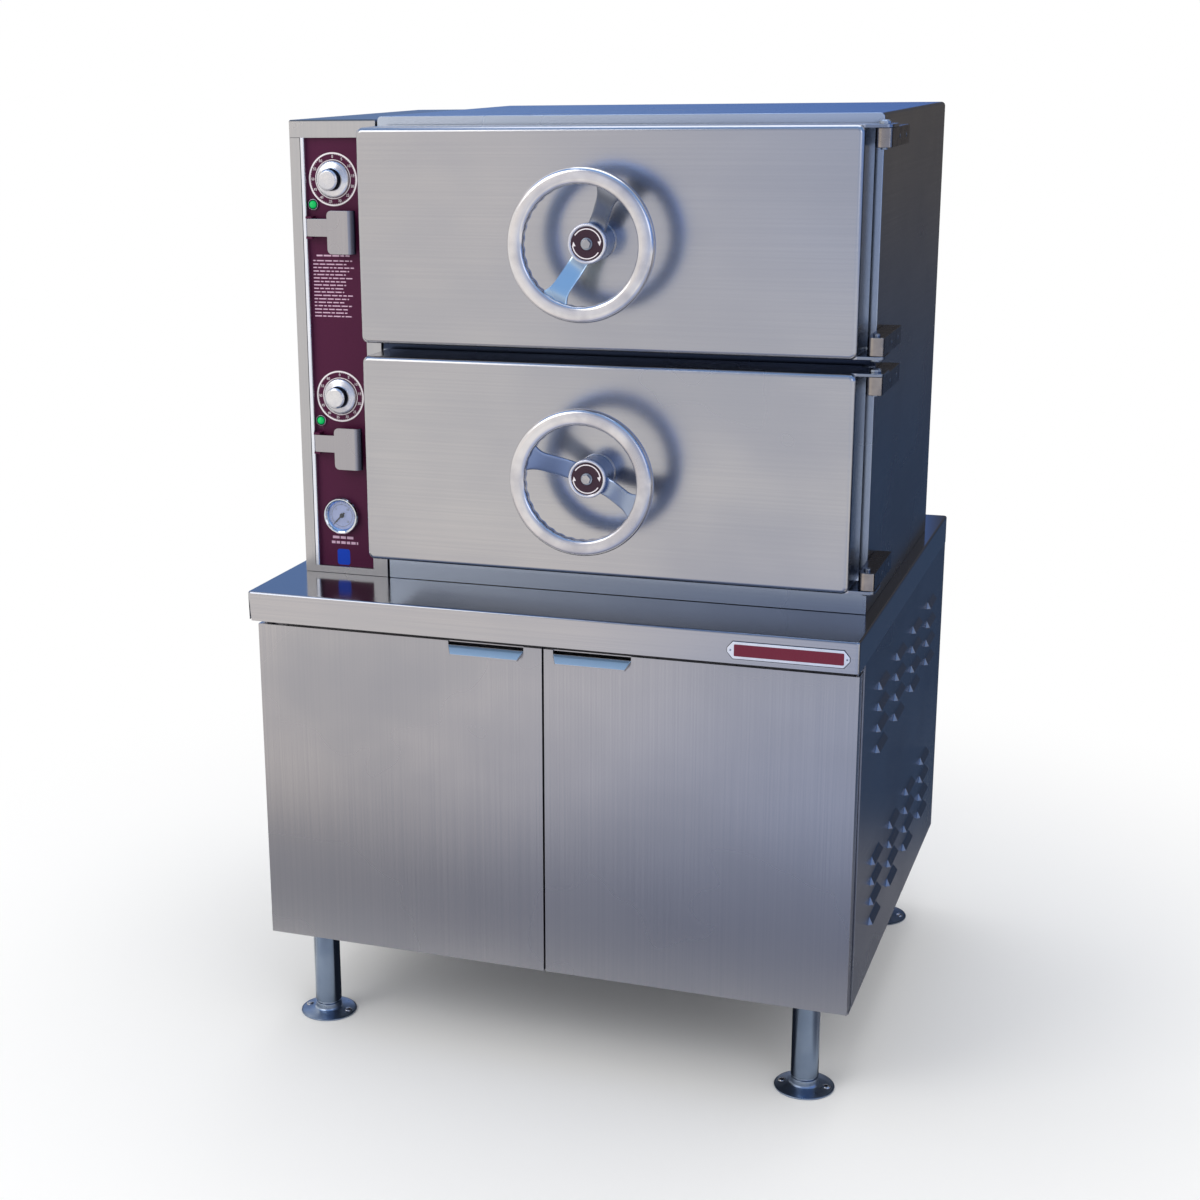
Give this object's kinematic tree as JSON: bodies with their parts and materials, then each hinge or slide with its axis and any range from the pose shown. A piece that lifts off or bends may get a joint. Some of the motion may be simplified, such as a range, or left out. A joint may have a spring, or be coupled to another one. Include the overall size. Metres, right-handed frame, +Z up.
{
  "type": "commercial pressure steamer",
  "caption": "Stacked pressure steam cooker on a louvred cabinet base, with wheel-latched compartment doors and a side control column.",
  "frame": {"origin": "centre of the bounding box at the floor", "axes": "+Z up, the doors and the control panel face -Y, +X to the right as seen from the front"},
  "size_m": [0.926, 0.8472, 1.3926],
  "materials": {
    "stainless": "brushed",
    "bright_stainless": "polished",
    "wheel_metal": "satin",
    "chrome": "polished",
    "steel": "machined",
    "panel_paint": "satin",
    "black_plastic": "matte",
    "green_lens": "gloss",
    "gasket_rubber": "matte",
    "gauge_glass": "clear",
    "brass": "machined",
    "wool": "matte",
    "grey_paint": "satin"
  },
  "bodies": {
    "stand": {"counter_top": "stainless", "cabinet_side_left": "stainless", "cabinet_side_right": "stainless", "cabinet_back": "stainless", "cabinet_floor": "stainless", "cabinet_front_frame": "stainless", "leg_front_left": "bright_stainless", "leg_front_right": "bright_stainless", "leg_back_left": "bright_stainless", "leg_back_right": "bright_stainless", "steam_generator": "grey_paint", "steam_riser": "brass", "drain_line": "brass", "relief_valve": "brass", "body_shell": "stainless", "body_front_frame": "stainless", "insulation_jacket": "wool", "compartment_upper": "bright_stainless", "compartment_lower": "bright_stainless", "hinge_block_upper_bottom": "bright_stainless", "hinge_block_upper_top": "bright_stainless", "hinge_block_lower_bottom": "bright_stainless", "hinge_block_lower_top": "bright_stainless", "column_shell": "stainless", "control_panel": "panel_paint", "timer_body_upper": "black_plastic", "timer_body_lower": "black_plastic", "pilot_light_upper": "green_lens", "pilot_light_lower": "green_lens", "gauge_case": "chrome", "gauge_lens": "gauge_glass"},
    "foot_front_left": {"foot_front_left": "steel"},
    "foot_front_right": {"foot_front_right": "steel"},
    "foot_back_left": {"foot_back_left": "steel"},
    "foot_back_right": {"foot_back_right": "steel"},
    "cabinet_door_left": {"cabinet_door_left": "stainless"},
    "cabinet_door_right": {"cabinet_door_right": "stainless"},
    "door_upper": {"door_upper": "stainless", "hinge_pin_upper_bottom": "steel", "hinge_pin_upper_top": "steel"},
    "door_lower": {"door_lower": "stainless", "hinge_pin_lower_bottom": "steel", "hinge_pin_lower_top": "steel"},
    "wheel_upper": {"wheel_upper": "wheel_metal", "spindle_upper": "steel"},
    "wheel_lower": {"wheel_lower": "wheel_metal", "spindle_lower": "steel"},
    "liner_upper": {"liner_upper": "bright_stainless", "gasket_upper": "gasket_rubber"},
    "liner_lower": {"liner_lower": "bright_stainless", "gasket_lower": "gasket_rubber"},
    "bolt_upper_left": {"latch_bolt_upper_left": "steel"},
    "bolt_upper_right": {"latch_bolt_upper_right": "steel"},
    "bolt_lower_left": {"latch_bolt_lower_left": "steel"},
    "bolt_lower_right": {"latch_bolt_lower_right": "steel"},
    "knob_upper": {"knob_upper": "wheel_metal"},
    "knob_lower": {"knob_lower": "wheel_metal"},
    "lever_upper": {"lever_upper": "bright_stainless"},
    "lever_lower": {"lever_lower": "bright_stainless"},
    "needle": {"gauge_needle": "black_plastic"}
  },
  "joints": [
    {"name": "foot_front_left_level", "type": "slide", "parent": "stand", "child": "foot_front_left", "axis": [0, 0, -1], "range_m": [0, 0.015]},
    {"name": "foot_front_right_level", "type": "slide", "parent": "stand", "child": "foot_front_right", "axis": [0, 0, -1], "range_m": [0, 0.015]},
    {"name": "foot_back_left_level", "type": "slide", "parent": "stand", "child": "foot_back_left", "axis": [0, 0, -1], "range_m": [0, 0.015]},
    {"name": "foot_back_right_level", "type": "slide", "parent": "stand", "child": "foot_back_right", "axis": [0, 0, -1], "range_m": [0, 0.015]},
    {"name": "cabinet_door_left_hinge", "type": "hinge", "parent": "stand", "child": "cabinet_door_left", "pos_m": [-0.4475, -0.34535, 0.4028], "axis": [0, 0, -1], "range_deg": [0, 105]},
    {"name": "cabinet_door_right_hinge", "type": "hinge", "parent": "stand", "child": "cabinet_door_right", "pos_m": [0.4475, -0.34535, 0.4028], "axis": [0, 0, 1], "range_deg": [0, 105]},
    {"name": "door_upper_hinge", "type": "hinge", "parent": "stand", "child": "door_upper", "pos_m": [0.4495, -0.30915, 1.2304], "axis": [0, 0, 1], "range_deg": [0, 110]},
    {"name": "door_lower_hinge", "type": "hinge", "parent": "stand", "child": "door_lower", "pos_m": [0.4495, -0.30915, 0.912], "axis": [0, 0, 1], "range_deg": [0, 110]},
    {"name": "wheel_upper_turn", "type": "hinge", "parent": "door_upper", "child": "wheel_upper", "pos_m": [0.07435, -0.34, 1.2304], "axis": [0, 1, 0], "range_deg": [0, 270]},
    {"name": "wheel_lower_turn", "type": "hinge", "parent": "door_lower", "child": "wheel_lower", "pos_m": [0.07435, -0.34, 0.912], "axis": [0, 1, 0], "range_deg": [0, 270]},
    {"name": "liner_upper_press", "type": "slide", "parent": "door_upper", "child": "liner_upper", "axis": [0, 1, 0], "range_m": [0, 0.0055]},
    {"name": "liner_lower_press", "type": "slide", "parent": "door_lower", "child": "liner_lower", "axis": [0, 1, 0], "range_m": [0, 0.0055]},
    {"name": "bolt_upper_left_slide", "type": "slide", "parent": "door_upper", "child": "bolt_upper_left", "axis": [-1, 0, 0], "range_m": [0, 0.025]},
    {"name": "bolt_upper_right_slide", "type": "slide", "parent": "door_upper", "child": "bolt_upper_right", "axis": [1, 0, 0], "range_m": [0, 0.025]},
    {"name": "bolt_lower_left_slide", "type": "slide", "parent": "door_lower", "child": "bolt_lower_left", "axis": [-1, 0, 0], "range_m": [0, 0.025]},
    {"name": "bolt_lower_right_slide", "type": "slide", "parent": "door_lower", "child": "bolt_lower_right", "axis": [1, 0, 0], "range_m": [0, 0.025]},
    {"name": "knob_upper_turn", "type": "hinge", "parent": "stand", "child": "knob_upper", "pos_m": [-0.361, -0.25, 1.3038], "axis": [0, 1, 0], "range_deg": [0, 330]},
    {"name": "knob_lower_turn", "type": "hinge", "parent": "stand", "child": "knob_lower", "pos_m": [-0.361, -0.25, 0.9847], "axis": [0, 1, 0], "range_deg": [0, 330]},
    {"name": "lever_upper_swing", "type": "hinge", "parent": "stand", "child": "lever_upper", "pos_m": [-0.396, -0.24985, 1.235], "axis": [0, 0, -1], "range_deg": [0, 60]},
    {"name": "lever_lower_swing", "type": "hinge", "parent": "stand", "child": "lever_lower", "pos_m": [-0.396, -0.24985, 0.914], "axis": [0, 0, -1], "range_deg": [0, 60]},
    {"name": "gauge_needle_turn", "type": "hinge", "parent": "stand", "child": "needle", "pos_m": [-0.3637, -0.25, 0.8017], "axis": [0, 1, 0], "range_deg": [0, 270], "stiffness_Nm_per_rad": 0.001}
  ],
  "couplings": [
    {"joint": "liner_upper_press", "follows": "wheel_upper_turn", "m_per_rad": 0.001167},
    {"joint": "bolt_upper_left_slide", "follows": "wheel_upper_turn", "m_per_rad": 0.005305},
    {"joint": "bolt_upper_right_slide", "follows": "wheel_upper_turn", "m_per_rad": 0.005305},
    {"joint": "liner_lower_press", "follows": "wheel_lower_turn", "m_per_rad": 0.001167},
    {"joint": "bolt_lower_left_slide", "follows": "wheel_lower_turn", "m_per_rad": 0.005305},
    {"joint": "bolt_lower_right_slide", "follows": "wheel_lower_turn", "m_per_rad": 0.005305}
  ]
}
